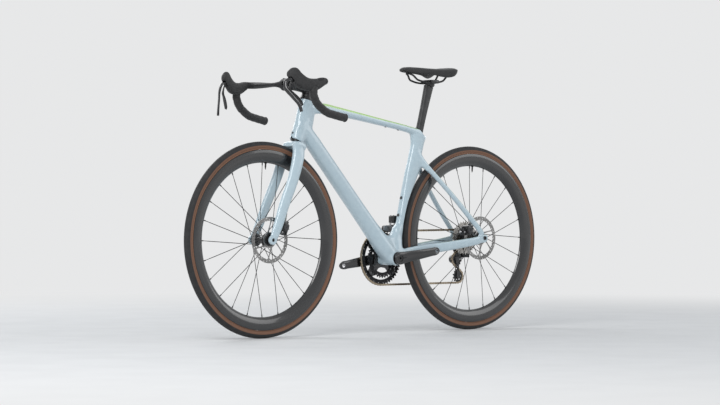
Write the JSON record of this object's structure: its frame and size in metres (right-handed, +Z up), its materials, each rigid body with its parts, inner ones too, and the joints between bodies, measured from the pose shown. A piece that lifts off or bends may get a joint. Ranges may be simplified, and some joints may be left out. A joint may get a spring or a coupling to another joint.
{
  "type": "road bicycle",
  "caption": "Drop-bar road bicycle with a painted carbon frame and fork, disc brakes, electronic shifting, deep carbon rims and a short padded saddle.",
  "frame": {"origin": "on the ground, midway between the two wheel axles and in the bicycle's middle plane", "axes": "+X forward, +Y to the rider's left, +Z up"},
  "size_m": [1.68, 0.4632, 0.9658],
  "materials": {
    "paint": "gloss pale ice-blue lacquer over carbon",
    "carbon": "soft-gloss black carbon fibre laminate",
    "anodised": "black anodised or black lacquered alloy",
    "alloy": "satin grey alloy",
    "steel": "ground stainless steel",
    "chain_steel": "bronze-grey coated steel",
    "tyre": "matt black rubber with a thin tan band at the rim",
    "tape": "wrapped black foam bar tape",
    "hood_rubber": "soft matt black rubber",
    "moulded_black": "moulded black composite",
    "saddle_cover": "matt black synthetic cover over foam"
  },
  "bodies": {
    "frame": {"main_frame": "paint", "chainstay_left": "paint", "chainstay_right": "paint", "seatstay_left": "paint", "seatstay_right": "paint", "derailleur_hanger": "anodised", "rear_thru_axle": "anodised", "bottom_bracket_left": "anodised", "bottom_bracket_right": "anodised", "headset_bearing_lower": "steel", "headset_bearing_upper": "steel", "rear_caliper": "anodised", "rear_hose": "hood_rubber", "chain": "chain_steel", "front_derailleur_body": "anodised", "derailleur_body": "anodised"},
    "steering": {"fork": "paint", "front_thru_axle": "anodised", "front_caliper": "anodised", "front_hose": "hood_rubber", "headset_cover": "anodised", "stem": "anodised", "stem_faceplate": "anodised", "handlebar": "carbon", "bar_tape_left": "tape", "bar_tape_right": "tape", "hood_left": "hood_rubber", "hood_right": "hood_rubber", "lever_body_left": "moulded_black", "lever_body_right": "moulded_black"},
    "left_brake_lever": {"brake_lever_left": "anodised"},
    "right_brake_lever": {"brake_lever_right": "anodised"},
    "left_shift_paddle": {"shift_paddle_left": "moulded_black"},
    "right_shift_paddle": {"shift_paddle_right": "moulded_black"},
    "front_wheel": {"front_tyre": "tyre", "front_rim": "carbon", "front_hub": "anodised", "front_rotor": "steel"},
    "rear_wheel": {"rear_tyre": "tyre", "rear_rim": "carbon", "rear_hub": "anodised", "rear_rotor": "steel"},
    "cassette": {"cassette": "chain_steel"},
    "crankset": {"crank_left": "anodised", "crank_right": "anodised", "chainring_outer": "anodised", "chainring_inner": "anodised"},
    "rear_cage": {"derailleur_cage": "carbon"},
    "guide_wheel": {"guide_pulley": "moulded_black"},
    "tension_wheel": {"tension_pulley": "moulded_black"},
    "front_cage": {"front_derailleur_cage": "alloy"},
    "front_outer_pad": {"front_pad_outer": "steel"},
    "front_inner_pad": {"front_pad_inner": "steel"},
    "rear_outer_pad": {"rear_pad_outer": "steel"},
    "rear_inner_pad": {"rear_pad_inner": "steel"},
    "post": {"seatpost": "carbon"},
    "saddle": {"saddle_cushion": "saddle_cover", "saddle_shell": "carbon", "saddle_rails": "carbon", "saddle_clamp": "anodised"}
  },
  "joints": [
    {"name": "steering", "type": "hinge", "parent": "frame", "child": "steering", "pos_m": [0.45295, 0, 0.34], "axis": [-0.2924, 0, 0.9563], "range_deg": [-60, 60]},
    {"name": "front_wheel_spin", "type": "hinge", "parent": "steering", "child": "front_wheel", "pos_m": [0.5, 0, 0.34], "axis": [0, 1, 0], "continuous": true},
    {"name": "rear_wheel_spin", "type": "hinge", "parent": "frame", "child": "rear_wheel", "pos_m": [-0.5, 0, 0.34], "axis": [0, 1, 0], "continuous": true},
    {"name": "crank_spin", "type": "hinge", "parent": "frame", "child": "crankset", "pos_m": [-0.097, 0, 0.2695], "axis": [0, 1, 0], "continuous": true},
    {"name": "cassette_spin", "type": "hinge", "parent": "frame", "child": "cassette", "pos_m": [-0.5, 0, 0.34], "axis": [0, 1, 0], "continuous": true},
    {"name": "rear_cage_swing", "type": "hinge", "parent": "frame", "child": "rear_cage", "pos_m": [-0.479, -0.0475, 0.26], "axis": [0, -1, 0], "range_deg": [0, 25], "stiffness_Nm_per_rad": 0.5, "springref_deg": -22.92, "deforming": ["chain"]},
    {"name": "guide_pulley_spin", "type": "hinge", "parent": "rear_cage", "child": "guide_wheel", "pos_m": [-0.479, -0.0475, 0.26], "axis": [0, 1, 0], "continuous": true},
    {"name": "tension_pulley_spin", "type": "hinge", "parent": "rear_cage", "child": "tension_wheel", "pos_m": [-0.485, -0.0475, 0.1975], "axis": [0, 1, 0], "continuous": true},
    {"name": "front_cage_trim", "type": "slide", "parent": "frame", "child": "front_cage", "axis": [0, 1, 0], "range_m": [-0.002, 0.002]},
    {"name": "left_brake_pull", "type": "hinge", "parent": "steering", "child": "left_brake_lever", "pos_m": [0.525, 0.18, 0.888], "axis": [0.3137, 0.9495, 0], "range_deg": [0, 20], "stiffness_Nm_per_rad": 1, "springref_deg": -17.19},
    {"name": "right_brake_pull", "type": "hinge", "parent": "steering", "child": "right_brake_lever", "pos_m": [0.525, -0.18, 0.888], "axis": [-0.3137, 0.9495, 0], "range_deg": [0, 20], "stiffness_Nm_per_rad": 1, "springref_deg": -17.19},
    {"name": "left_shift_press", "type": "hinge", "parent": "left_brake_lever", "child": "left_shift_paddle", "pos_m": [0.532, 0.179, 0.852], "axis": [-1, 0, 0], "range_deg": [0, 7], "stiffness_Nm_per_rad": 0.5, "springref_deg": -11.46},
    {"name": "right_shift_press", "type": "hinge", "parent": "right_brake_lever", "child": "right_shift_paddle", "pos_m": [0.532, -0.179, 0.852], "axis": [1, 0, 0], "range_deg": [0, 7], "stiffness_Nm_per_rad": 0.5, "springref_deg": -11.46},
    {"name": "front_outer_pad_push", "type": "slide", "parent": "steering", "child": "front_outer_pad", "axis": [0, -1, 0], "range_m": [0, 0.0004]},
    {"name": "front_inner_pad_push", "type": "slide", "parent": "steering", "child": "front_inner_pad", "axis": [0, 1, 0], "range_m": [0, 0.0004]},
    {"name": "rear_outer_pad_push", "type": "slide", "parent": "frame", "child": "rear_outer_pad", "axis": [0, -1, 0], "range_m": [0, 0.0004]},
    {"name": "rear_inner_pad_push", "type": "slide", "parent": "frame", "child": "rear_inner_pad", "axis": [0, 1, 0], "range_m": [0, 0.0004]},
    {"name": "seatpost_height", "type": "slide", "parent": "frame", "child": "post", "axis": [-0.2756, 0, 0.9613], "range_m": [-0.05, 0.03]},
    {"name": "saddle_tilt", "type": "hinge", "parent": "post", "child": "saddle", "pos_m": [-0.296, 0, 0.9035], "axis": [0, 1, 0], "range_deg": [-12, 12]}
  ],
  "couplings": [
    {"joint": "cassette_spin", "follows": "crank_spin", "ratio": 3.2},
    {"joint": "guide_pulley_spin", "follows": "crank_spin", "ratio": -4},
    {"joint": "tension_pulley_spin", "follows": "crank_spin", "ratio": 4},
    {"joint": "front_outer_pad_push", "follows": "left_brake_pull", "m_per_rad": 0.00114},
    {"joint": "front_inner_pad_push", "follows": "left_brake_pull", "m_per_rad": 0.00114},
    {"joint": "rear_outer_pad_push", "follows": "right_brake_pull", "m_per_rad": 0.00114},
    {"joint": "rear_inner_pad_push", "follows": "right_brake_pull", "m_per_rad": 0.00114}
  ]
}
